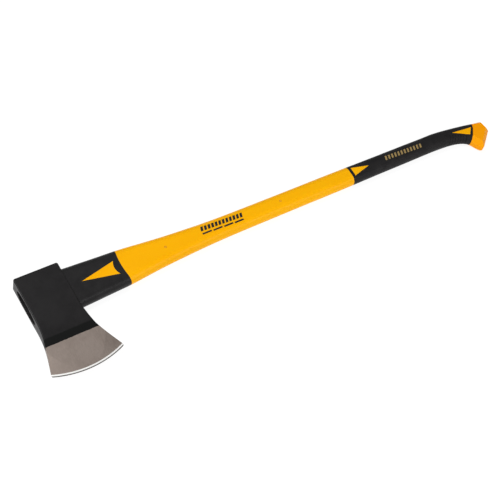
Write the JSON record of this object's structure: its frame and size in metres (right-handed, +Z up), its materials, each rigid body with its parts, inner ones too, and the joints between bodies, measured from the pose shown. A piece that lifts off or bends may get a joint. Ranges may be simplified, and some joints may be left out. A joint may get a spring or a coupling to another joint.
{
  "type": "felling axe",
  "caption": "Single-bit felling axe with a forged black head, ground bit, flared yellow moulded handle, black collar and grip, and a hooked knob.",
  "frame": {"origin": "under the middle of the axe's box, on the surface that the axe lies on", "axes": "+X along the handle from the head to the butt, +Y from the cutting edge towards the poll, +Z up out of the upper cheek"},
  "size_m": [0.9228, 0.178, 0.028],
  "materials": {
    "head_lacquer": "semi-gloss black lacquer over forged steel, with a bare ground bit",
    "resin": "dark poured epoxy",
    "dam_rubber": "soft foam rubber",
    "glass_fibre": "straw-coloured pultruded glass fibre",
    "yellow_jacket": "smooth moulded polypropylene with a light satin gloss",
    "collar_black": "satin black thermoplastic rubber",
    "grip_black": "matte textured black thermoplastic rubber",
    "yellow_cap": "smooth moulded polypropylene with a light satin gloss",
    "badge_gold": "pale gold inlay",
    "print_ink": "black printing ink"
  },
  "bodies": {
    "root": {"axe_head": "head_lacquer", "eye_resin": "resin", "resin_dam": "dam_rubber", "glass_fibre_core": "glass_fibre", "shaft_jacket": "yellow_jacket", "overstrike_collar": "collar_black", "grip_sleeve": "grip_black", "butt_cap": "yellow_cap", "grip_badge": "badge_gold", "shaft_print": "print_ink"}
  },
  "joints": []
}
